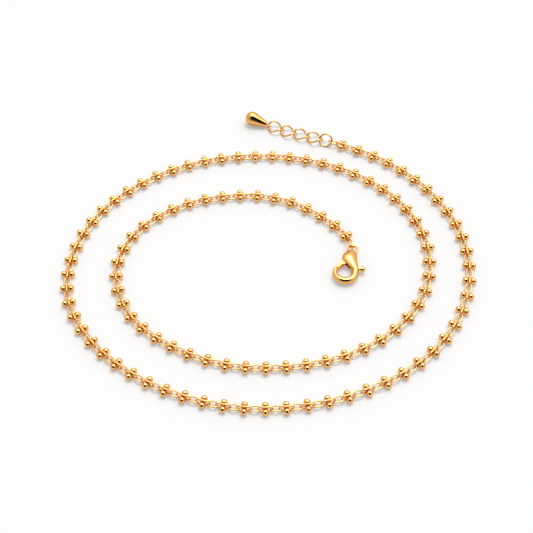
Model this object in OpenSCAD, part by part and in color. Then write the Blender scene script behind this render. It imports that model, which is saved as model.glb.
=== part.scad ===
// Ball chain necklace with a lobster clasp, a short extender and a drop, lying in an open spiral.
// Upright oval links with a ball soldered on each side alternate with small flat oval links.
// Millimetres. +Z is up and z = 0 is the surface that the necklace lies on.

/* [Balls] */
// Diameter of each ball
ball_d = 1.5; // [1.4:0.05:1.55]
// Distance between the centres of the two balls of a link
ball_spacing = 1.7; // [1.65:0.05:1.9]
// Height of the soldered bar that joins the two balls through their link
solder_bar_h = 0.5; // [0.4:0.05:0.6]
// Length of the soldered web inside the link, measured along the chain
solder_web_l = 1.1; // [0.8:0.05:1.15]

/* [Chain links] */
// Wire diameter of the chain links
wire_d = 0.33; // [0.3:0.01:0.34]
// Outer length of an upright link with balls
ball_link_l = 3.45; // [3.3:0.05:3.6]
// Outer height of an upright link with balls
ball_link_h = 1.75; // [1.7:0.05:2]
// Outer length of a flat link
flat_link_l = 2.55; // [2.45:0.05:2.8]
// Outer width of a flat link
flat_link_w = 1.7; // [1.65:0.05:1.8]
// Clear space kept between two links that interlock
link_clear = 0.13; // [0.11:0.01:0.15]

/* [Extender] */
// Wire diameter of the jump ring and the curb links
extender_wire_d = 0.4; // [0.34:0.01:0.42]
// Outer diameter of the jump ring
ring_od = 3.4; // [3.2:0.1:4]
// Outer length of a curb link
curb_l = 4.3; // [4.1:0.1:4.6]
// Outer width of a curb link before it is twisted
curb_w = 3.5; // [3.3:0.1:3.9]

/* [Drop] */
// Diameter of the round end of the drop
drop_d = 3.3; // [2.9:0.1:3.4]
// Distance from the centre of the round end to the neck
drop_neck_l = 3.8; // [3.4:0.1:4.4]
// Diameter of the neck
drop_neck_d = 1.5; // [1.2:0.05:1.6]
// Outer diameter of the drop's eye
drop_eye_od = 1.5; // [1.4:0.05:1.8]
// Thickness of the drop's eye
drop_eye_t = 0.3; // [0.26:0.01:0.34]

/* [Clasp] */
// Thickness of the clasp at the middle of its body
clasp_t = 2.3; // [2.2:0.05:2.6]
// Distance from the centre of the eye to the centre of the hook
clasp_reach = 7.2; // [7.1:0.1:7.8]
// Outer diameter of the clasp's eye
eye_od = 2.7; // [2.5:0.1:3]
// Thickness of the rim of the clasp's eye
eye_rim_d = 0.6; // [0.5:0.05:0.65]
// Outer diameter of the hook
hook_od = 5.8; // [5.6:0.1:6.2]
// Thickness of the hook at its far end
hook_d = 1.55; // [1.4:0.05:1.6]
// Thickness of the hook at its tip
hook_tip_d = 1.05; // [0.95:0.05:1.15]
// Outer length of the link that joins the clasp to the chain
clasp_link_l = 3.5; // [3.3:0.1:3.8]
// Outer width of the link that joins the clasp to the chain, before it is twisted
clasp_link_w = 2.1; // [2:0.05:2.2]
// Wire diameter of the link that joins the clasp to the chain
clasp_link_wire_d = 0.38; // [0.34:0.01:0.4]

/* [Lever] */
// Thickness of the lever where it runs in the slot
lever_t = 0.7; // [0.5:0.05:0.8]
// Thickness of the jaw outside the slot
jaw_t = 1.3; // [1:0.1:1.4]
// Diameter of the pivot pin
pin_d = 0.7; // [0.5:0.05:0.8]
// Clear space between the pin and the lever's bore, all round
pin_clear = 0.06; // [0.04:0.01:0.08]
// Clear space above and below the lever in its slot, and at the end of the jaw
lever_clear = 0.1; // [0.08:0.01:0.14]
// Diameter of the thumb knob
knob_d = 1.3; // [1:0.1:1.4]

/* [Hidden] */
$fn = 48;

gold = [0.93, 0.68, 0.28];
gold_wire = [0.86, 0.6, 0.22];
gold_clasp = [0.95, 0.72, 0.34];

// Middle of the whole necklace's outline in the frame of the points below, which becomes the origin
middle = [0.57, 4.08];

// Route of the chain, from the link next to the clasp to the link next to the extender
route = [
    [18.1, 9], [17.75, 9.6], [15.9, 11.8], [13, 14.5], [9.5, 17.1], [4, 19.9],
    [-5, 21.4], [-18, 18.9], [-29, 11], [-33.5, -0.7],
    [-30.1, -13.2], [-20.9, -21.8], [-8.5, -27], [5, -27.5], [17.9, -24.2], [28.5, -17],
    [35.3, -6.1], [36.2, 7], [31.1, 19], [21.4, 27.9], [9, 33], [-4, 34.1],
    [-16.9, 31.7], [-28.4, 25.9], [-38, 16.5], [-43.3, 4.6], [-43.7, -8.5], [-38.2, -20.1],
    [-28.4, -29.3], [-16.9, -35.2], [-4, -38], [9.5, -37.1], [22, -33], [33, -26],
    [41, -16], [45.1, -3.5], [44.2, 10], [39, 21.3], [32.5, 28.9], [25.8, 34], [18.2, 37.8]
];

// The chain lies tight on the side of the spiral opposite to this direction and slack towards it,
// with this much slack in the middle of the spiral
slack_direction = 120;
slack_radius = 16;
slack_middle = 1.05;
// Largest turn of a ball link about the vertical, and lean about the chain, in degrees
yaw_play = 0.5;
lean = 3;
lean_play = 1;
// Step between the phases of neighbouring links, which makes the turns look irregular
phase_step = 137.5;

// Share of the free height of an upright link by which a slack flat link sinks in it
sink = 0.45;
// Clear space added where a link leans or turns beside its neighbour, and beside a ball
lean_clear = 0.13;
ball_clear = 0.1;

// Headings of the clasp's link and the clasp, in degrees from +X
clasp_link_heading = -77;
clasp_heading = -105;
// Headings of the stretches from the last ball link to the ring, each curb link and the drop
row_heading = [161, 160, 160, 161, 155, 158];
// Lean of the jump ring, of the flat link that holds it, and twist at each end of a curb link
ring_lean = 38;
ring_link_lean = 20;
curb_twist = -45;
// Turn of the drop's eye about the drop's length
drop_eye_turn = 45;
// Squareness of the clasp link
clasp_link_fullness = 0.85;
// Distance from the first ball link's centre to the bow of the clasp link that it holds
clasp_link_hold = 1.005;
// Sides of swept wire, and its steps round a link and along the hook
wire_sides = 8;
link_steps = 36;
hook_sides = 20;
hook_steps = 36;

function sum_to(v) = [for (i = 0, s = 0; i <= len(v); s = s + (i < len(v) ? v[i] : 0), i = i + 1) s];
function polar(heading, distance) = distance * [cos(heading), sin(heading)];
function heading_of(v) = atan2(v.y, v.x);
function clamp01(t) = min(1, max(0, t));

// Point at share t of the span that starts at point i, on the curve through all points
function near_point(i) = route[min(len(route) - 1, max(0, i))];
function span_point(i, t) =
    let (a = near_point(i - 1), b = near_point(i), c = near_point(i + 1), d = near_point(i + 2))
    (2 * b + (c - a) * t + (2 * a - 5 * b + 4 * c - d) * t * t
        + (3 * b - a - 3 * c + d) * t * t * t) / 2;
span_steps = 12;
path = [
    for (i = [0 : len(route) - 2], j = [0 : span_steps - 1]) span_point(i, j / span_steps),
    route[len(route) - 1]
];

// Half lengths and half widths of the links at the middle of their wire
ball_half_l = (ball_link_l - wire_d) / 2;
ball_half_h = (ball_link_h - wire_d) / 2;
flat_half_l = (flat_link_l - wire_d) / 2;
flat_half_w = (flat_link_w - wire_d) / 2;
clasp_link_half_l = (clasp_link_l - clasp_link_wire_d) / 2;
clasp_link_half_w = (clasp_link_w - clasp_link_wire_d) / 2;
ring_r = (ring_od - extender_wire_d) / 2;
curb_half_l = (curb_l - extender_wire_d) / 2;
curb_half_w = (curb_w - extender_wire_d) / 2;
drop_eye_r = (drop_eye_od - drop_eye_t) / 2;
eye_r = (eye_od - eye_rim_d) / 2;

// Distance between the wires of two links that pull on each other
wire_gap = wire_d + link_clear;
// A slack flat link sinks in the upright links, as far as its end bow clears their wire
sink_depth = sink * (ball_half_h - wire_gap);
// Nearest place of the middle of a flat link's end to a ball link's centre: its bow clears the balls
bow_to_ball = sqrt(pow((ball_d + wire_d) / 2 + link_clear + ball_clear, 2) - pow(sink_depth, 2));
near_ball = sqrt(pow(flat_half_w + bow_to_ball, 2) - pow(ball_spacing / 2, 2)) - flat_half_w;
near_end = max(near_ball, solder_web_l / 2 + wire_d / 2 + link_clear);
tight_pitch = 2 * (ball_half_l + flat_half_l - wire_gap);
slack_pitch = 2 * (near_end + flat_half_l);

// Links are counted along the path, each span of which adds its length over the pitch there
function slackness(p) = clamp01(slack_middle + p * polar(slack_direction, 1) / slack_radius / 2);
function pitch_at(p) = tight_pitch - (tight_pitch - slack_pitch) * slackness(p);
link_share = [
    for (i = [0 : len(path) - 2])
        norm(path[i + 1] - path[i]) / pitch_at((path[i] + path[i + 1]) / 2)
];
raw_count = sum_to(link_share);
ball_link_count = round(raw_count[len(path) - 1]) + 1;
count_scale = (ball_link_count - 1) / raw_count[len(path) - 1];
table_x = [for (i = [0 : len(path) - 1]) [raw_count[i] * count_scale, path[i].x]];
table_y = [for (i = [0 : len(path) - 1]) [raw_count[i] * count_scale, path[i].y]];
function place(i) = [lookup(i, table_x), lookup(i, table_y)];
function heading(i) = heading_of(place(i + 0.2) - place(i - 0.2));
chain_z = ball_link_h / 2;

// Height of a flat link by the pitch that it spans: level when tight, sunk when slack
function flat_z(pitch) = chain_z - sink_depth * clamp01((tight_pitch - pitch) / (tight_pitch - slack_pitch));

// The row of pieces from the last ball link outwards: distances between their centres
flat_end_to_ring = ring_r - (wire_d + extender_wire_d) / 2 - link_clear - lean_clear;
ring_to_curb = ring_r + curb_half_l - extender_wire_d - link_clear - lean_clear;
curb_pitch = 2 * curb_half_l - extender_wire_d - link_clear;
curb_to_eye = curb_half_l - drop_eye_r + (extender_wire_d + drop_eye_t) / 2 + link_clear;
curb_z = 0.4 * curb_half_w + extender_wire_d / 2;
ring_z = ring_r * sin(ring_lean) + extender_wire_d / 2;
row_flat_start = place(ball_link_count - 1) + polar(heading(ball_link_count - 1), ball_half_l - wire_gap);
row_flat_end = row_flat_start + polar(row_heading[0], 2 * flat_half_l);
ring_at = row_flat_end + polar(row_heading[0], flat_end_to_ring);
function curb_at(k) = k == 1 ? ring_at + polar(row_heading[1], ring_to_curb)
    : curb_at(k - 1) + polar(row_heading[k], curb_pitch);
eye_at = curb_at(4) + polar(row_heading[5], curb_to_eye);

// The stretch from the first ball link to the clasp: both ends of the clasp link, and the eye
clasp_link_clear = link_clear + lean_clear;
clasp_link_start = place(0) - polar(heading(0), clasp_link_hold);
clasp_link_end = clasp_link_start + polar(clasp_link_heading, 2 * clasp_link_half_l);
eye_start = clasp_link_end
    - polar(clasp_link_heading, (clasp_link_wire_d + eye_rim_d) / 2 + clasp_link_clear);
clasp_at = eye_start + polar(clasp_link_heading, eye_r);
clasp_z = clasp_t / 2;

// Ring of round wire with the given radius, or the part of it between two angles
module wire_bow(r, wire, from, to) {
    rotate([0, 0, from]) rotate_extrude(angle = to - from) translate([r, 0]) circle(d = wire);
}

// Oval of round wire with half-round ends, lying in the XY plane
module oval(half_l, half_w, wire) {
    straight = 2 * (half_l - half_w);
    for (side = [0, 180]) rotate([0, 0, side]) {
        translate([straight / 2, 0, 0]) wire_bow(half_w, wire, -90, 90);
        translate([-straight / 2, half_w, 0]) rotate([0, 90, 0]) cylinder(d = wire, h = straight);
    }
}

// Upright oval link with a ball soldered on each side, centred on the origin and running along X
module ball_link() {
    rotate([90, 0, 0]) oval(ball_half_l, ball_half_h, wire_d);
    for (side = [-1, 1]) translate([0, side * ball_spacing / 2, 0]) sphere(d = ball_d);
    cube([0.4 * ball_d, ball_spacing - ball_d / 2, solder_bar_h], center = true);
    cube([solder_web_l, wire_d * 0.8, 2 * ball_half_h], center = true);
}

// Puts a piece that runs along X between two points in space, rolled about its own length
module between(a, b, roll = 0) {
    d = b - a;
    translate((a + b) / 2) rotate([0, -atan2(d.z, norm([d.x, d.y])), atan2(d.y, d.x)])
        rotate([roll, 0, 0]) children();
}

// Everything is drawn in the frame of the route and moved to the origin here
module laid() {
    translate([-middle.x, -middle.y, 0]) children();
}

module ball_links() {
    color(gold) laid() for (i = [0 : ball_link_count - 1])
        translate([place(i).x, place(i).y, chain_z])
            rotate([0, 0, heading(i) + yaw_play * sin(i * phase_step)])
                rotate([lean * cos(heading(i)) + lean_play * cos(i * phase_step), 0, 0])
                    ball_link();
}

module flat_links() {
    color(gold_wire) laid() {
        for (i = [0 : ball_link_count - 2]) {
            a = place(i);
            b = place(i + 1);
            z = flat_z(norm(b - a));
            between([a.x, a.y, z], [b.x, b.y, z]) oval(flat_half_l, flat_half_w, wire_d);
        }
        row_flat_link();
    }
}

// Flat link between the last ball link and the jump ring, which stands higher
module row_flat_link() {
    a = row_flat_start;
    b = row_flat_end;
    between([a.x, a.y, chain_z], [b.x, b.y, ring_z], ring_link_lean)
        oval(flat_half_l, flat_half_w, wire_d);
}

// Twisted oval that lies flat where it holds the chain and stands upright in the clasp's eye
module clasp_link() {
    a = clasp_link_start;
    b = clasp_link_end;
    color(gold_wire) laid() between([a.x, a.y, chain_z], [b.x, b.y, clasp_z], curb_twist)
        twisted_link(clasp_link_half_l, clasp_link_half_w, clasp_link_wire_d, clasp_link_fullness);
}

module jump_ring() {
    color(gold_wire) laid() translate([ring_at.x, ring_at.y, ring_z])
        rotate([0, 0, row_heading[0]]) rotate([-ring_lean, 0, 0])
            wire_bow(ring_r, extender_wire_d, 0, 360);
}

// Oval link of round wire whose ends are twisted against each other, running along X. It is an ellipse
// where its fullness is 1, and squarer where that is less.
module twisted_link(half_l, half_w, wire, fullness) {
    function full(v) = sign(v) * pow(abs(v), fullness);
    line = [
        for (i = [0 : link_steps - 1])
            let (
                t = 360 * (i + 0.5) / link_steps, x = full(cos(t)), y = half_w * full(sin(t)),
                turn = curb_twist * x
            )
            [half_l * x, y * cos(turn), y * sin(turn)]
    ];
    swept(line, [for (p = line) wire], wire_sides, true);
}

// Round rod along a line of points about the origin, with its thickness at each point. A closed line joins
// its own start, and an open one ends in flat faces.
module swept(line, rods, sides, closed) {
    count = len(line);
    last = count - 1;
    points = [
        for (i = [0 : last])
            let (
                ahead = closed ? line[(i + 1) % count] - line[(i + last) % count]
                    : line[min(i + 1, last)] - line[max(i - 1, 0)],
                along = ahead / norm(ahead), side = cross(along, line[i]) / norm(cross(along, line[i])),
                up = cross(side, along)
            )
            for (j = [0 : sides - 1])
                line[i] + rods[i] / 2 * (cos(360 * j / sides) * up + sin(360 * j / sides) * side)
    ];
    function at(i, j) = (i % count) * sides + j % sides;
    faces = [
        for (i = [0 : closed ? last : last - 1], j = [0 : sides - 1])
            each [[at(i, j), at(i + 1, j + 1), at(i, j + 1)], [at(i, j), at(i + 1, j), at(i + 1, j + 1)]]
    ];
    ends = closed ? [] : [[for (j = [0 : sides - 1]) j], [for (j = [sides - 1 : -1 : 0]) at(last, j)]];
    polyhedron(points, concat(faces, ends), convexity = 6);
}

// The k-th curb link, whose ends meet its neighbours at their heights
module placed_curb_link(k) {
    at = curb_at(k);
    start_z = k == 1 ? (ring_z + curb_z) / 2 : curb_z;
    start = at - polar(row_heading[k], curb_half_l);
    end = at + polar(row_heading[k], curb_half_l);
    color(gold_wire) laid() between([start.x, start.y, start_z], [end.x, end.y, curb_z])
        twisted_link(curb_half_l, curb_half_w, extender_wire_d, 1);
}

module drop() {
    eye = [eye_at.x, eye_at.y, curb_z];
    rise = asin((drop_d / 2 - curb_z) / (drop_neck_l + drop_eye_r));
    color(gold_clasp) laid() translate(eye) rotate([0, -rise, row_heading[5]]) {
        rotate([drop_eye_turn, 0, 0]) drop_eye();
        translate([drop_eye_r, 0, 0]) rotate([0, 90, 0]) drop_body();
    }
}

// Flat eye in one piece with the neck
module drop_eye() {
    difference() {
        cylinder(d = drop_eye_od, h = drop_eye_t, center = true);
        cylinder(d = drop_eye_od - 2 * drop_eye_t, h = 2 * drop_eye_t, center = true);
    }
}

// Round end with a cone that runs from it to the neck, standing on the neck along Z
module drop_body() {
    cone_turn = asin((drop_d - drop_neck_d) / 2 / drop_neck_l);
    meet = [0.99 * drop_d / 2 * cos(cone_turn), drop_neck_l - drop_d / 2 * sin(cone_turn)];
    rotate_extrude() intersection() {
        union() {
            translate([0, drop_neck_l]) circle(d = drop_d);
            polygon([[0, 0], [drop_neck_d / 2, 0], meet, [0, meet.y]]);
        }
        square([drop_d, drop_neck_l + drop_d]);
    }
}

// The clasp's own frame: the eye's centre is the origin and X runs to the hook
module clasp_frame() {
    laid() translate([clasp_at.x, clasp_at.y, clasp_z]) rotate([0, 0, clasp_heading]) children();
}

// Places in the clasp's frame, as shares of its reach and of the hook's outer diameter
function in_clasp(x, y) = [x * clasp_reach, y * hook_od];
pivot = in_clasp(0.49, -0.07);
jaw_end_r = norm(in_clasp(0.87, -0.42) - pivot);
// Turns of the hook's arc from its far end to its tip and to its root in the body
tip_turn = 107;
root_turn = 128;

module clasp_body() {
    color(gold_clasp) clasp_frame() {
        wire_bow(eye_r, eye_rim_d, 0, 360);
        difference() {
            union() {
                hook();
                clasp_shell();
            }
            plate(lever_t + 2 * lever_clear) slot_outline();
        }
        translate([pivot.x, pivot.y, -0.4 * clasp_t]) cylinder(d = pin_d, h = 0.8 * clasp_t);
    }
}

// Round hook that grows thicker from its tip to its far end, cut where the jaw's end turns past it
module hook() {
    turns = [for (i = [0 : hook_steps]) -tip_turn + (tip_turn + root_turn) * i / hook_steps];
    rods = [for (turn = turns) let (t = clamp01(1 + turn / tip_turn))
        hook_tip_d + (hook_d - hook_tip_d) * t * t * (3 - 2 * t)];
    line = [for (i = [0 : hook_steps]) let (r = (hook_od - rods[i]) / 2)
        [r * cos(turns[i]), r * sin(turns[i]), 0]];
    difference() {
        translate([clasp_reach, 0, 0]) swept(line, rods, hook_sides, false);
        translate([pivot.x, pivot.y, -clasp_t]) cylinder(r = jaw_end_r + lever_clear, h = 2 * clasp_t);
    }
}

// Body between the eye and the hook, thickest in its middle
module clasp_shell() {
    hull() {
        clasp_bulge(in_clasp(0.26, 0.01), 0.224, 0.4);
        clasp_bulge(in_clasp(0.41, -0.03), 0.29, 0.5);
        clasp_bulge(in_clasp(0.79, 0.35), 0.14, 0.37);
    }
    hull() {
        clasp_bulge(in_clasp(0.79, 0.35), 0.14, 0.37);
        clasp_bulge(in_clasp(0.98, 0.362), 0.135, 0.34);
    }
}

// Flattened ball with its radius as a share of the hook's diameter and its height as one of the thickness
module clasp_bulge(at, r, h) {
    translate([at.x, at.y, 0]) scale([r * hook_od, r * hook_od, h * clasp_t]) sphere(1, $fn = 32);
}

// Slot for the lever, open at the jaw and at the thumb knob
module slot_outline() {
    polygon([
        in_clasp(0.36, -0.6), in_clasp(0.8, -0.6), in_clasp(0.8, 0),
        in_clasp(0.78, 0.3), in_clasp(0.78, 0.7), in_clasp(0.36, 0.7)
    ]);
}

module clasp_lever() {
    color(gold_clasp) clasp_frame() difference() {
        union() {
            intersection() {
                union() {
                    plate(lever_t) jaw_outline();
                    plate(jaw_t) jaw_head_outline();
                }
                translate([pivot.x, pivot.y, -clasp_t]) cylinder(r = jaw_end_r, h = 2 * clasp_t);
            }
            translate([pivot.x, pivot.y, -lever_t / 2]) cylinder(d = pin_d + 0.8, h = lever_t);
            plate(lever_t) thumb_outline();
            knob();
        }
        translate([pivot.x, pivot.y, -clasp_t]) cylinder(d = pin_d + 2 * pin_clear, h = 2 * clasp_t);
    }
}

// Plate of the given thickness, halved by the clasp's middle plane
module plate(t) {
    translate([0, 0, -t / 2]) linear_extrude(t) children();
}

module jaw_outline() {
    polygon([
        in_clasp(0.43, -0.17), in_clasp(0.56, -0.29), in_clasp(0.9, -0.44),
        in_clasp(0.88, -0.32), in_clasp(0.68, -0.14), in_clasp(0.55, 0.02)
    ]);
}

// The part of the jaw that stands outside the slot
module jaw_head_outline() {
    polygon([
        in_clasp(0.58, -0.31), in_clasp(0.9, -0.44), in_clasp(0.88, -0.32), in_clasp(0.69, -0.155)
    ]);
}

module thumb_outline() {
    polygon([
        in_clasp(0.43, -0.02), in_clasp(0.52, -0.17), in_clasp(0.76, 0.4),
        in_clasp(0.75, 0.56), in_clasp(0.68, 0.56), in_clasp(0.66, 0.4)
    ]);
}

// Thumb knob with a round end, beside the clasp
module knob() {
    base = in_clasp(0.715, 0.53);
    stem = knob_d * 0.3;
    translate([base.x, base.y, 0]) rotate([-90, 0, 0]) rotate_extrude() intersection() {
        union() {
            square([knob_d / 2, stem]);
            translate([0, stem]) circle(d = knob_d);
        }
        square([knob_d, stem + knob_d]);
    }
}

ball_links();
flat_links();
clasp_link();
clasp_body();
clasp_lever();
jump_ring();
placed_curb_link(1);  // curb_link_1
placed_curb_link(2);  // curb_link_2
placed_curb_link(3);  // curb_link_3
placed_curb_link(4);  // curb_link_4
drop();
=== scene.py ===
"""Gold ball chain necklace with a lobster clasp, an extender and a drop, lying in an open spiral."""

import bmesh
import bpy
import numpy as np
from mathutils import Matrix, Vector


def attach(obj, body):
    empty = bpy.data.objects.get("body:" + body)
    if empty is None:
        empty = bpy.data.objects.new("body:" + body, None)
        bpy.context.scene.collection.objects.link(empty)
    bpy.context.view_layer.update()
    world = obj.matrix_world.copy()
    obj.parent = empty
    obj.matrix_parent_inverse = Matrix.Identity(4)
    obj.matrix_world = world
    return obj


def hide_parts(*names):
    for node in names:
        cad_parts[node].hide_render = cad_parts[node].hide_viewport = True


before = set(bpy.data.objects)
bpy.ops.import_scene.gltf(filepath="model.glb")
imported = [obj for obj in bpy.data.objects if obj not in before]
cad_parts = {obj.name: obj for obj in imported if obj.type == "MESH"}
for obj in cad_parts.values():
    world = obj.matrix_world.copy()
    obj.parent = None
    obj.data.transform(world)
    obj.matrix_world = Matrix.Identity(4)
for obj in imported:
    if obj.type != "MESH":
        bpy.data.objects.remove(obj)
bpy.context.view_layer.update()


# Upright links
# Every second link of the chain is an oval of gold-plated brass wire that stands on edge. It is
# bent round a former, cut, closed and soldered, and it carries a ball on each side.

MM = 0.001
WIRE_D = 0.33
# The wire is drawn this much thicker all round, as the photo shows it: the solids are thinned to keep
# the links clear of each other
WIRE_FILL = 0.022
BALL_LINK_L = 3.45
BALL_LINK_H = 1.75
FLAT_LINK_L = 2.55
FLAT_LINK_W = 1.7
LINK_CLEAR = 0.13
LEAN_CLEAR = 0.13
BALL_CLEAR = 0.1
BALL_D = 1.5
BALL_SPACING = 1.7
SOLDER_L = 1.1

# Middle of the necklace's outline in the frame of the route, which becomes the origin
MIDDLE = (0.57, 4.08)

# Route of the chain, from the link next to the clasp to the link next to the extender
ROUTE = np.array([
    [18.1, 9], [17.75, 9.6], [15.9, 11.8], [13, 14.5], [9.5, 17.1], [4, 19.9],
    [-5, 21.4], [-18, 18.9], [-29, 11], [-33.5, -0.7],
    [-30.1, -13.2], [-20.9, -21.8], [-8.5, -27], [5, -27.5], [17.9, -24.2], [28.5, -17],
    [35.3, -6.1], [36.2, 7], [31.1, 19], [21.4, 27.9], [9, 33], [-4, 34.1],
    [-16.9, 31.7], [-28.4, 25.9], [-38, 16.5], [-43.3, 4.6], [-43.7, -8.5], [-38.2, -20.1],
    [-28.4, -29.3], [-16.9, -35.2], [-4, -38], [9.5, -37.1], [22, -33], [33, -26],
    [41, -16], [45.1, -3.5], [44.2, 10], [39, 21.3], [32.5, 28.9], [25.8, 34], [18.2, 37.8],
])

# The chain is slack towards this direction and tight on the spiral's other side
SLACK_DIRECTION = 120
SLACK_RADIUS = 16
SLACK_MIDDLE = 1.05
# Turn of a link about the vertical and lean about the chain, in degrees
YAW_PLAY = 0.5
LEAN = 3
LEAN_PLAY = 1
PHASE_STEP = 137.5
# Share of its play by which a flat link sinks where the chain is slack
SINK = 0.45
# Steps of the path between two points of the route, and how far on each side of a link, in links, the path
# is read for its heading
PATH_STEPS = 12
HEADING_REACH = 0.2
# Sides of the chain's wire and points round each bow, kept few because the links are many
WIRE_SIDES = 7
BOW_POINTS = 8


def polar(heading, distance):
    """Vector of that length in the plane, turned from X by the heading in degrees."""
    return distance * np.array([np.cos(np.radians(heading)), np.sin(np.radians(heading))])


def curve_through(points, steps):
    """Curve through all points: each span is a cubic that leaves and meets its two points along the
    chords of their neighbours, (2b + (c-a)t + (2a-5b+4c-d)t^2 + (3b-a-3c+d)t^3) / 2."""
    padded = np.vstack([points[:1], points, points[-1:]])
    a, b, c, d = (padded[k:k + len(points) - 1, None] for k in range(4))
    t = (np.arange(steps) / steps)[None, :, None]
    spans = (2 * b + (c - a) * t + (2 * a - 5 * b + 4 * c - d) * t**2 + (3 * b - a - 3 * c + d) * t**3) / 2
    return np.vstack([spans.reshape(-1, 2), points[-1:]])


wire_gap = WIRE_D + LINK_CLEAR
ball_half_l, ball_half_h = (BALL_LINK_L - WIRE_D) / 2, (BALL_LINK_H - WIRE_D) / 2
flat_half_l, flat_half_w = (FLAT_LINK_L - WIRE_D) / 2, (FLAT_LINK_W - WIRE_D) / 2
sink_depth = SINK * (ball_half_h - wire_gap)
bow_to_ball = np.sqrt(((BALL_D + WIRE_D) / 2 + LINK_CLEAR + BALL_CLEAR)**2 - sink_depth**2)
near_ball = np.sqrt((flat_half_w + bow_to_ball)**2 - (BALL_SPACING / 2)**2) - flat_half_w
tight_pitch = 2 * (ball_half_l + flat_half_l - wire_gap)
slack_pitch = 2 * (max(near_ball, SOLDER_L / 2 + WIRE_D / 2 + LINK_CLEAR) + flat_half_l)

# Each stretch of the path counts its length over the pitch there, and the count is scaled to whole links
path = curve_through(ROUTE, PATH_STEPS)
stretch_middles = (path[1:] + path[:-1]) / 2
slackness = np.clip(SLACK_MIDDLE + stretch_middles @ polar(SLACK_DIRECTION, 1) / (2 * SLACK_RADIUS), 0, 1)
pitches = tight_pitch - (tight_pitch - slack_pitch) * slackness
links_so_far = np.append(0, np.cumsum(np.linalg.norm(np.diff(path, axis=0), axis=1) / pitches))
last_link = int(np.round(links_so_far[-1]))
links_so_far *= last_link / links_so_far[-1]
chain_z = BALL_LINK_H / 2


def chain_point(count):
    """Point of the path after that many links, in the plane."""
    return np.stack([np.interp(count, links_so_far, path[:, k]) for k in (0, 1)], -1)


def chain_heading(count):
    """Direction of the path there, in degrees from X."""
    step = chain_point(count + HEADING_REACH) - chain_point(count - HEADING_REACH)
    return np.degrees(np.arctan2(step[..., 1], step[..., 0]))


def turned(axis, degrees):
    """Turning matrices about the axis numbered 0, 1 or 2, one for each angle."""
    angle = np.radians(np.atleast_1d(degrees).astype(float))
    first, second = (axis + 1) % 3, (axis + 2) % 3
    matrix = np.zeros((len(angle), 3, 3))
    matrix[:, axis, axis] = 1
    matrix[:, first, first] = matrix[:, second, second] = np.cos(angle)
    matrix[:, second, first] = np.sin(angle)
    matrix[:, first, second] = -np.sin(angle)
    return matrix


def oval_line(half_l, half_w, bow_points):
    """Closed line of two half circles of radius half_w, half_l from the middle at their tops, with
    straight stretches between them."""
    bow = np.radians(np.linspace(-90, 90, bow_points))
    end = np.stack([half_l - half_w + half_w * np.cos(bow), half_w * np.sin(bow), 0 * bow], -1)
    return np.vstack([end, end * (-1, -1, 1)])


def grid_faces(rows, sides):
    """Quads of a grid of points whose last row and last side join the first."""
    row, side = np.meshgrid(np.arange(rows), np.arange(sides), indexing="ij")
    row_on, side_on = (row + 1) % rows, (side + 1) % sides
    return np.stack([
        row * sides + side, row_on * sides + side, row_on * sides + side_on, row * sides + side_on
    ], -1).reshape(-1, 4)


def wire_along(line, radius, sides):
    """Round wire along a closed line about the origin: at each point a circle stands square to the
    line, radius * (cos * outwards + sin * sideways)."""
    along = np.roll(line, -1, 0) - np.roll(line, 1, 0)
    sideways = np.cross(along, line)
    sideways /= np.linalg.norm(sideways, axis=1, keepdims=True)
    outwards = np.cross(sideways, along)
    outwards /= np.linalg.norm(outwards, axis=1, keepdims=True)
    turn = np.radians(np.arange(sides) * 360 / sides)[None, :, None]
    round_it = np.cos(turn) * outwards[:, None] + np.sin(turn) * sideways[:, None]
    points = line[:, None] + np.reshape(radius, (-1, 1, 1)) * round_it
    return points.reshape(-1, 3), [grid_faces(len(line), sides)]


def laid_out(shape, turns, places):
    """The same shape once in each frame: turn @ point + place, all in one list of points and faces."""
    points, faces = shape
    placed = np.einsum("kij,nj->kni", turns, points) + np.asarray(places)[:, None]
    first_point = np.arange(len(places))[:, None, None] * len(points)
    return placed.reshape(-1, 3), [(f[None] + first_point).reshape(-1, f.shape[1]) for f in faces]


def facing_out(points, faces):
    """The faces, all reversed if the volume that they enclose comes out negative."""
    volume = sum(
        np.einsum("ij,ij->", points[f[:, 0]], np.cross(points[f[:, k]], points[f[:, k + 1]]))
        for f in faces for k in range(1, f.shape[1] - 1)
    )
    return faces if volume > 0 else [f[:, ::-1] for f in faces]


def add_piece(name, shape, finish, body, slot, *nodes):
    """Mesh object of a shape in millimetres in the route's frame, smooth all over, that rides on a
    body and stands for the CAD nodes."""
    points, faces = shape
    mesh = bpy.data.meshes.new(name)
    in_frame = (points - (*MIDDLE, 0)) * MM
    all_faces = [face for block in facing_out(in_frame, faces) for face in block.tolist()]
    mesh.from_pydata(in_frame.tolist(), [], all_faces)
    mesh.shade_smooth()
    mesh.materials.append(finish)
    piece = bpy.data.objects.new(name, mesh)
    bpy.context.scene.collection.objects.link(piece)
    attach(piece, body)
    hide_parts(*nodes)


# Colour of the reflection at grazing angles, and the values of the noise between which the two golds and the
# polish blend
EDGE_TINT = (1, 0.52, 0.16, 1)
TONES_FROM, TONES_TO = 0.35, 0.65
POLISH_FROM, POLISH_TO = 0.3, 0.7
# Shares of a finish's roughness where it is polished best and least
SMOOTHEST, ROUGHEST = 0.7, 1.4
MARK_MM = 0.12
MARK_STRENGTH = 0.15


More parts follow.
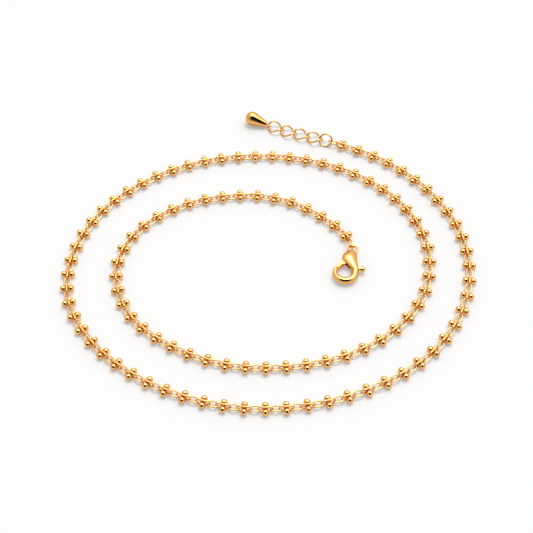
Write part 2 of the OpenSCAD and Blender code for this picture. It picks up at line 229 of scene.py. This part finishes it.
def polished_gold(name, light, deep, roughness, patch_mm, scratch_height):
    """Gold plating: its colour drifts between two golds in soft patches, its polish is a little
    uneven, and fine buffing marks give it a slight grain."""
    finish = bpy.data.materials.new(name)
    finish.use_nodes = True
    nodes, links = finish.node_tree.nodes, finish.node_tree.links
    shader = nodes["Principled BSDF"]
    shader.inputs["Metallic"].default_value = 1
    shader.inputs["Specular Tint"].default_value = EDGE_TINT
    place = nodes.new("ShaderNodeTexCoord").outputs["Object"]

    patches = nodes.new("ShaderNodeTexNoise")
    patches.inputs["Scale"].default_value = 1 / (patch_mm * MM)
    patches.inputs["Detail"].default_value = 2
    links.new(place, patches.inputs["Vector"])
    tint = nodes.new("ShaderNodeValToRGB")
    tint.color_ramp.elements[0].position = TONES_FROM
    tint.color_ramp.elements[0].color = (*deep, 1)
    tint.color_ramp.elements[1].position = TONES_TO
    tint.color_ramp.elements[1].color = (*light, 1)
    links.new(patches.outputs["Fac"], tint.inputs["Fac"])
    links.new(tint.outputs["Color"], shader.inputs["Base Color"])

    polish = nodes.new("ShaderNodeMapRange")
    polish.inputs["From Min"].default_value = POLISH_FROM
    polish.inputs["From Max"].default_value = POLISH_TO
    polish.inputs["To Min"].default_value = roughness * SMOOTHEST
    polish.inputs["To Max"].default_value = roughness * ROUGHEST
    links.new(patches.outputs["Fac"], polish.inputs["Value"])
    links.new(polish.outputs["Result"], shader.inputs["Roughness"])

    marks = nodes.new("ShaderNodeTexNoise")
    marks.inputs["Scale"].default_value = 1 / (MARK_MM * MM)
    marks.inputs["Detail"].default_value = 3
    links.new(place, marks.inputs["Vector"])
    grain = nodes.new("ShaderNodeBump")
    grain.inputs["Strength"].default_value = MARK_STRENGTH
    grain.inputs["Distance"].default_value = scratch_height * MM
    links.new(marks.outputs["Fac"], grain.inputs["Height"])
    links.new(grain.outputs["Normal"], shader.inputs["Normal"])
    return finish


wire_gold = polished_gold(
    "polished_gold_wire", light=(0.92, 0.58, 0.22), deep=(0.88, 0.51, 0.17),
    roughness=0.16, patch_mm=3, scratch_height=0.004,
)

numbers = np.arange(last_link + 1)
wobble = np.radians(numbers * PHASE_STEP)
headings = chain_heading(numbers)
leans = LEAN * np.cos(np.radians(headings)) + LEAN_PLAY * np.cos(wobble)
ball_link_turns = turned(2, headings + YAW_PLAY * np.sin(wobble)) @ turned(0, leans)
ball_link_places = np.column_stack([chain_point(numbers), np.full(len(numbers), chain_z)])

upright_line = oval_line(ball_half_l, ball_half_h, BOW_POINTS)[:, [0, 2, 1]]
upright_link = wire_along(upright_line, WIRE_D / 2 + WIRE_FILL, WIRE_SIDES)
add_piece(
    "upright_links", laid_out(upright_link, ball_link_turns, ball_link_places),
    wire_gold, "necklace", "gold_wire", "ball_links",
)


# Balls
# Round brass balls, one on each side of an upright link, soldered to each other through it, plated and
# polished to a mirror.

BALL_RINGS = 9
BALL_SIDES = 12


def turned_round(height, radius, sides):
    """Surface of revolution about Z of a profile of heights and radii: a ring of points for each
    height, and a point on the axis at each end, where the radius is nothing."""
    turn = np.radians(np.arange(sides) * 360 / sides)
    rings = np.stack(np.broadcast_arrays(
        radius[1:-1, None] * np.cos(turn), radius[1:-1, None] * np.sin(turn), height[1:-1, None]
    ), -1).reshape(-1, 3)
    points = np.vstack([[0, 0, height[0]], rings, [0, 0, height[-1]]])
    bands = len(height) - 3
    quads = (grid_faces(bands + 1, sides)[:bands * sides] + 1) if bands else np.empty((0, 4), int)
    start = np.arange(sides)
    on = (start + 1) % sides
    last_ring = 1 + bands * sides
    first_fan = np.stack([np.zeros(sides, int), start + 1, on + 1], -1)
    last_fan = np.stack([np.full(sides, len(points) - 1), last_ring + on, last_ring + start], -1)
    return points, [quads, np.vstack([first_fan, last_fan])]


def joined(*shapes):
    """Several shapes as one list of points and faces."""
    points, faces = [], []
    for shape_points, shape_faces in shapes:
        first_point = sum(len(p) for p in points)
        points.append(shape_points)
        faces += [f + first_point for f in shape_faces if len(f)]
    return np.vstack(points), faces


ball_gold = polished_gold(
    "mirror_polished_gold_balls", light=(0.96, 0.57, 0.21), deep=(0.92, 0.5, 0.16),
    roughness=0.03, patch_mm=3, scratch_height=0.001,
)

latitude = np.radians(np.linspace(-90, 90, BALL_RINGS))
ball = turned_round(BALL_D / 2 * np.sin(latitude), BALL_D / 2 * np.cos(latitude), BALL_SIDES)
on_each_side = laid_out(ball, turned(0, [90, -90]), [[0, -BALL_SPACING / 2, 0], [0, BALL_SPACING / 2, 0]])
add_piece(
    "balls", laid_out(on_each_side, ball_link_turns, ball_link_places),
    ball_gold, "necklace", "gold_balls", "ball_links",
)


# Solder between the balls
# Solder drawn into the gap inside each upright link: it bridges the two balls through the link and
# runs up and down to the wire, thinner there, with a hollow face. It spreads along the upper wire,
# clear of the flat links.

# Half widths across the link at the bridge and at the wire, and the bridge's height as a share of the link's
SOLDER_BRIDGE = 0.3
SOLDER_WEB = 0.12
SOLDER_BRIDGE_H = 0.35
# Share by which the solder is longer at the upper wire, and the shares of the half height between which it
# grows so
SOLDER_SPREAD = 0.65
SPREAD_FROM, SPREAD_TO = 0.2, 0.7
SOLDER_RINGS = 9
SOLDER_SIDES = 6

solder_gold = polished_gold(
    "plated_solder", light=(0.88, 0.52, 0.15), deep=(0.8, 0.44, 0.1),
    roughness=0.25, patch_mm=0.6, scratch_height=0.01,
)

rise = np.linspace(-1, 1, SOLDER_RINGS)
solder_z = rise * ball_half_h
spread = SOLDER_SPREAD * np.clip((rise - SPREAD_FROM) / (SPREAD_TO - SPREAD_FROM), 0, 1)
solder_along = SOLDER_L / 2 * (1 + spread)
solder_across = SOLDER_WEB + (SOLDER_BRIDGE - SOLDER_WEB) * np.exp(-(rise / SOLDER_BRIDGE_H)**2)
solder_points, solder_faces = turned_round(solder_z, np.where(np.abs(rise) < 1, 1.0, 0), SOLDER_SIDES)
inner = solder_points[1:-1].reshape(-1, SOLDER_SIDES, 3)
inner[..., 0] *= solder_along[1:-1, None]
inner[..., 1] *= solder_across[1:-1, None]
add_piece(
    "solder_joints", laid_out((solder_points, solder_faces), ball_link_turns, ball_link_places),
    solder_gold, "necklace", "gold_balls", "ball_links",
)


# Flat links
# Small ovals of the same wire that lie flat and join the upright links. Where the chain is slack they
# sink between the balls, and the last one rises to the jump ring.

ROW_HEADINGS = [161, 160, 160, 161, 155, 158]
RING_LINK_LEAN = 20
RING_LEAN = 38
RING_OD = 3.4
EXTENDER_WIRE_D = 0.4

ring_r = (RING_OD - EXTENDER_WIRE_D) / 2
ring_z = ring_r * np.sin(np.radians(RING_LEAN)) + EXTENDER_WIRE_D / 2


def between(start, end, rolls=0):
    """Turns and places of pieces that lie along X, each put between two points in space and rolled
    about its own length."""
    start, end = np.atleast_2d(start), np.atleast_2d(end)
    step = end - start
    climb = np.degrees(np.arctan2(step[:, 2], np.hypot(step[:, 0], step[:, 1])))
    bearing = np.degrees(np.arctan2(step[:, 1], step[:, 0]))
    return turned(2, bearing) @ turned(1, -climb) @ turned(0, rolls), (start + end) / 2


chain = chain_point(numbers)
spans = np.linalg.norm(np.diff(chain, axis=0), axis=1)
sunk = chain_z - sink_depth * np.clip((tight_pitch - spans) / (tight_pitch - slack_pitch), 0, 1)
row_start = chain[-1] + polar(headings[-1], ball_half_l - wire_gap)
row_end = row_start + polar(ROW_HEADINGS[0], 2 * flat_half_l)

flat_starts = np.vstack([np.column_stack([chain[:-1], sunk]), [*row_start, chain_z]])
flat_ends = np.vstack([np.column_stack([chain[1:], sunk]), [*row_end, ring_z]])
flat_rolls = np.append(np.zeros(last_link), RING_LINK_LEAN)
flat_line = oval_line(flat_half_l, flat_half_w, BOW_POINTS)
flat_link = wire_along(flat_line, WIRE_D / 2 + WIRE_FILL, WIRE_SIDES)
add_piece(
    "flat_links", laid_out(flat_link, *between(flat_starts, flat_ends, flat_rolls)),
    wire_gold, "necklace", "gold_wire", "flat_links",
)


# Clasp link
# Oval of heavier wire, twisted by a quarter turn: it lies flat round the end of the first upright link and
# stands on edge in the clasp's eye.

CLASP_LINK_L = 3.5
CLASP_LINK_W = 2.1
CLASP_LINK_WIRE_D = 0.38
CLASP_LINK_HEADING = -77
CLASP_LINK_HOLD = 1.005
CLASP_LINK_FULLNESS = 0.85
CLASP_Z = 1.15
TWIST = -45
TWISTED_POINTS = 72
CLASP_LINK_SIDES = 20


def twisted_line(half_l, half_w, fullness, points):
    """Closed line whose two ends are turned against each other about X: (half_l * f(cos), half_w * f(sin))
    turned by TWIST * f(cos), where f raises a number to the fullness and keeps its sign."""
    turn = np.radians((np.arange(points) + 0.5) * 360 / points)
    x, y = (np.sign(v) * np.abs(v)**fullness for v in (np.cos(turn), np.sin(turn)))
    roll = np.radians(TWIST) * x
    return np.stack([half_l * x, half_w * y * np.cos(roll), half_w * y * np.sin(roll)], -1)


clasp_link_half_l = (CLASP_LINK_L - CLASP_LINK_WIRE_D) / 2
clasp_link_half_w = (CLASP_LINK_W - CLASP_LINK_WIRE_D) / 2
clasp_link_start = chain[0] - polar(headings[0], CLASP_LINK_HOLD)
clasp_link_end = clasp_link_start + polar(CLASP_LINK_HEADING, 2 * clasp_link_half_l)
clasp_link_line = twisted_line(clasp_link_half_l, clasp_link_half_w, CLASP_LINK_FULLNESS, TWISTED_POINTS)
add_piece(
    "clasp_link",
    laid_out(
        wire_along(clasp_link_line, CLASP_LINK_WIRE_D / 2, CLASP_LINK_SIDES),
        *between([*clasp_link_start, chain_z], [*clasp_link_end, CLASP_Z], TWIST)
    ),
    wire_gold, "necklace", "gold_wire", "clasp_link",
)


# Jump ring
# Round ring of wire at the start of the extender, leaning on the flat link that it holds.

RING_POINTS = 64
EXTENDER_SIDES = 16

flat_end_to_ring = ring_r - (WIRE_D + EXTENDER_WIRE_D) / 2 - LINK_CLEAR - LEAN_CLEAR
ring_at = row_end + polar(ROW_HEADINGS[0], flat_end_to_ring)
ring_turn = np.radians(np.arange(RING_POINTS) * 360 / RING_POINTS)
ring_line = ring_r * np.stack([np.cos(ring_turn), np.sin(ring_turn), 0 * ring_turn], -1)
add_piece(
    "jump_ring",
    laid_out(
        wire_along(ring_line, EXTENDER_WIRE_D / 2 + WIRE_FILL, EXTENDER_SIDES),
        turned(2, ROW_HEADINGS[0]) @ turned(0, -RING_LEAN), [[*ring_at, ring_z]]
    ),
    wire_gold, "necklace", "gold_wire", "jump_ring",
)


# Extender links
# Four larger links of curb chain: ovals of wire whose two ends are twisted against each other, so that
# each lies open on one side and on edge on the other.

CURB_L = 4.3
CURB_W = 3.5
CURB_LINKS = 4
# Height of a link's middle over its wire's, as a share of its half width, where it rests on its twisted ends
CURB_REST = 0.4

curb_half_l, curb_half_w = (CURB_L - EXTENDER_WIRE_D) / 2, (CURB_W - EXTENDER_WIRE_D) / 2
curb_z = CURB_REST * curb_half_w + EXTENDER_WIRE_D / 2
ring_to_curb = ring_r + curb_half_l - EXTENDER_WIRE_D - LINK_CLEAR - LEAN_CLEAR
curb_pitch = 2 * curb_half_l - EXTENDER_WIRE_D - LINK_CLEAR

curb_line = twisted_line(curb_half_l, curb_half_w, 1, TWISTED_POINTS)
curb_link = wire_along(curb_line, EXTENDER_WIRE_D / 2 + WIRE_FILL, EXTENDER_SIDES)
curb_at, start_z, step_on = ring_at, (ring_z + curb_z) / 2, ring_to_curb
for number in range(1, CURB_LINKS + 1):
    heading = ROW_HEADINGS[number]
    curb_at = curb_at + polar(heading, step_on)
    reach = polar(heading, curb_half_l)
    add_piece(
        f"curb_link_{number}_wire",
        laid_out(curb_link, *between([*(curb_at - reach), start_z], [*(curb_at + reach), curb_z])),
        wire_gold, "necklace", "gold_wire", f"curb_link_{number}",
    )
    start_z, step_on = curb_z, curb_pitch


# Drop
# Small solid teardrop at the extender's end, cast with a flat eye on its neck and polished.

DROP_D = 3.3
DROP_NECK_L = 3.8
DROP_NECK_D = 1.5
DROP_EYE_OD = 1.5
DROP_EYE_T = 0.3
DROP_EYE_TURN = 45
DROP_SIDES = 40
CONE_STEPS = 12
BALL_END_STEPS = 24
# Rounded edge of the neck: its heights, the shares of the neck's radius there, and where the cone starts
NECK_ROUND_H = [0, 0.04]
NECK_ROUND_R = np.array([0.8, 0.95])
CONE_FROM = 0.12

cast_gold = polished_gold(
    "polished_cast_gold", light=(0.9, 0.53, 0.18), deep=(0.86, 0.47, 0.14),
    roughness=0.19, patch_mm=2.5, scratch_height=0.003,
)

drop_eye_r = (DROP_EYE_OD - DROP_EYE_T) / 2
curb_to_eye = curb_half_l - drop_eye_r + (EXTENDER_WIRE_D + DROP_EYE_T) / 2 + LINK_CLEAR
eye_at = curb_at + polar(ROW_HEADINGS[5], curb_to_eye)
drop_rise = np.degrees(np.arcsin((DROP_D / 2 - curb_z) / (DROP_NECK_L + drop_eye_r)))

# From the neck's rounded end up the cone to where it meets the ball, and round the ball to its far end
cone_turn = np.arcsin((DROP_D - DROP_NECK_D) / 2 / DROP_NECK_L)
cone_share = np.linspace(0, 1, CONE_STEPS)[:-1]
meet_height = DROP_NECK_L - DROP_D / 2 * np.sin(cone_turn)
meet_radius = DROP_D / 2 * np.cos(cone_turn)
ball_turn = np.linspace(-cone_turn, np.pi / 2, BALL_END_STEPS)
drop_height = np.concatenate([
    [0], NECK_ROUND_H, CONE_FROM + (meet_height - CONE_FROM) * cone_share,
    DROP_NECK_L + DROP_D / 2 * np.sin(ball_turn),
])
neck_radius = DROP_NECK_D / 2
drop_radius = np.concatenate([
    [0], neck_radius * NECK_ROUND_R, neck_radius + (meet_radius - neck_radius) * cone_share,
    DROP_D / 2 * np.cos(ball_turn),
])
drop_eye = wire_along(ring_line * drop_eye_r / ring_r, DROP_EYE_T / 2, EXTENDER_SIDES)
drop_shape = joined(
    laid_out(drop_eye, turned(0, DROP_EYE_TURN), [[0, 0, 0]]),
    laid_out(turned_round(drop_height, drop_radius, DROP_SIDES), turned(1, 90), [[drop_eye_r, 0, 0]]),
)
add_piece(
    "teardrop",
    laid_out(drop_shape, turned(2, ROW_HEADINGS[5]) @ turned(1, -drop_rise), [[*eye_at, curb_z]]),
    cast_gold, "necklace", "gold_clasp", "drop",
)


# Clasp body
# Lobster clasp, cast in brass in one piece: an eye, a rounded body with a slot for the lever, and a round
# hook. It is polished, so that its edges and corners are all soft.

# Points of the solid that lie closer than this, in millimetres, become one
WELD = 1e-4


def cast_copy(node, name, finish, body, cell, passes):
    """Merged copy of a CAD node, worked over into small even cells and then evened out, which rounds its
    edges and fills its inner corners as casting and polishing do. The cells are in millimetres."""
    work = bmesh.new()
    work.from_mesh(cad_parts[node].data)
    bmesh.ops.transform(work, matrix=Matrix.Scale(1 / MM, 4), verts=work.verts)
    bmesh.ops.remove_doubles(work, verts=work.verts, dist=WELD)
    mesh = bpy.data.meshes.new(name)
    work.to_mesh(mesh)
    work.free()
    piece = bpy.data.objects.new(name, mesh)
    bpy.context.scene.collection.objects.link(piece)
    cells = piece.modifiers.new("cells", "REMESH")
    cells.mode = "VOXEL"
    cells.voxel_size = cell
    polish = piece.modifiers.new("polish", "SMOOTH")
    polish.factor = 0.5
    polish.iterations = passes
    worked = bpy.data.meshes.new_from_object(piece.evaluated_get(bpy.context.evaluated_depsgraph_get()))
    piece.modifiers.clear()
    piece.data = worked
    worked.transform(Matrix.Scale(MM, 4))
    worked.shade_smooth()
    worked.materials.clear()
    worked.materials.append(finish)
    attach(piece, body)
    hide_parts(node)


cast_copy("clasp_body", "clasp_casting", cast_gold, "necklace", cell=0.06, passes=8)


# Clasp lever
# Small cast lever that turns on the pin in the clasp's slot: a jaw that closes the hook, and a knob for the
# thumb that stands out on the other side. A spring inside holds it shut.

cast_copy("clasp_lever", "lever_casting", cast_gold, "lever", cell=0.04, passes=6)


# Surface, light and camera
# Pale seamless surface in a white light tent that is brightest overhead, with the camera's dark opening in
# front, from where the photograph looks down on the necklace.

SURFACE_SIZE = 4
PAPER_TONE = 0.5
PAPER_GLOW = 0.3
PAPER_ROUGHNESS = 0.9

bpy.ops.mesh.primitive_plane_add(size=SURFACE_SIZE)
surface = bpy.context.object
surface.name = "pale_surface"
paper = bpy.data.materials.new("white_paper")
paper.use_nodes = True
paper_shader = paper.node_tree.nodes["Principled BSDF"]
paper_shader.inputs["Base Color"].default_value = (PAPER_TONE, PAPER_TONE, PAPER_TONE, 1)
paper_shader.inputs["Roughness"].default_value = PAPER_ROUGHNESS
paper_shader.inputs["Emission Color"].default_value = (1, 1, 1, 1)
paper_shader.inputs["Emission Strength"].default_value = PAPER_GLOW
surface.data.materials.append(paper)

# The camera looks at the origin of the route, at the height of the chain's middle. Its focal length is given
# in pixels of the photograph
AIM = Vector((-MIDDLE[0], -MIDDLE[1], chain_z)) * MM
CAMERA_DISTANCE = 312.97 * MM
CAMERA_ELEVATION = np.radians(50.5)
FOCAL_PX = 1400
IMAGE_PX = 533

towards_camera = Vector((0, -np.cos(CAMERA_ELEVATION), np.sin(CAMERA_ELEVATION)))
camera = bpy.data.objects.new("camera", bpy.data.cameras.new("camera"))
bpy.context.scene.collection.objects.link(camera)
camera.location = AIM + CAMERA_DISTANCE * towards_camera
camera.rotation_euler = towards_camera.to_track_quat("Z", "Y").to_euler()
camera.data.lens = camera.data.sensor_width * FOCAL_PX / IMAGE_PX
camera.data.clip_start = 0.01
bpy.context.scene.camera = camera

# The tent glows most where a large light stands over and behind it, and less and less away from
# there. Each stop is the cosine of the angle to that light, and the glow there.
TENT_LIGHT = Vector((0.14, 0.28, 0.95)).normalized()
TENT_STOPS = [(0, 0.45), (0.45, 0.58), (0.7, 0.8), (0.86, 1.3), (0.92, 2.3), (0.96, 4.2), (1, 5.8)]
TENT_SCALE = 1.245
# The round opening for the camera darkens the tent between these two angles from the camera
OPENING_FROM = np.radians(36)
OPENING_TO = np.radians(42)

tent = bpy.data.worlds.new("light_tent")
tent.use_nodes = True
tent_nodes, tent_links = tent.node_tree.nodes, tent.node_tree.links
sky_direction = tent_nodes.new("ShaderNodeTexCoord").outputs["Generated"]


def cosine_to(direction):
    """Socket with the cosine of the angle between the direction of view and the given one."""
    cosine = tent_nodes.new("ShaderNodeVectorMath")
    cosine.operation = "DOT_PRODUCT"
    cosine.inputs[1].default_value = direction
    tent_links.new(sky_direction, cosine.inputs[0])
    return cosine.outputs["Value"]


glow = tent_nodes.new("ShaderNodeValToRGB")
brightest = TENT_STOPS[-1][1]
while len(glow.color_ramp.elements) < len(TENT_STOPS):
    glow.color_ramp.elements.new(0.5)
for stop, (cosine, strength) in zip(glow.color_ramp.elements, TENT_STOPS):
    stop.position = cosine
    stop.color = (*[strength / brightest] * 3, 1)
tent_links.new(cosine_to(TENT_LIGHT), glow.inputs["Fac"])
opening = tent_nodes.new("ShaderNodeMapRange")
opening.inputs["From Min"].default_value = np.cos(OPENING_TO)
opening.inputs["From Max"].default_value = np.cos(OPENING_FROM)
opening.inputs["To Min"].default_value = brightest * TENT_SCALE
opening.inputs["To Max"].default_value = 0
tent_links.new(cosine_to(towards_camera), opening.inputs["Value"])
tent_links.new(glow.outputs["Color"], tent_nodes["Background"].inputs["Color"])
tent_links.new(opening.outputs["Result"], tent_nodes["Background"].inputs["Strength"])
bpy.context.scene.world = tent

bpy.context.scene.view_settings.view_transform = "Standard"
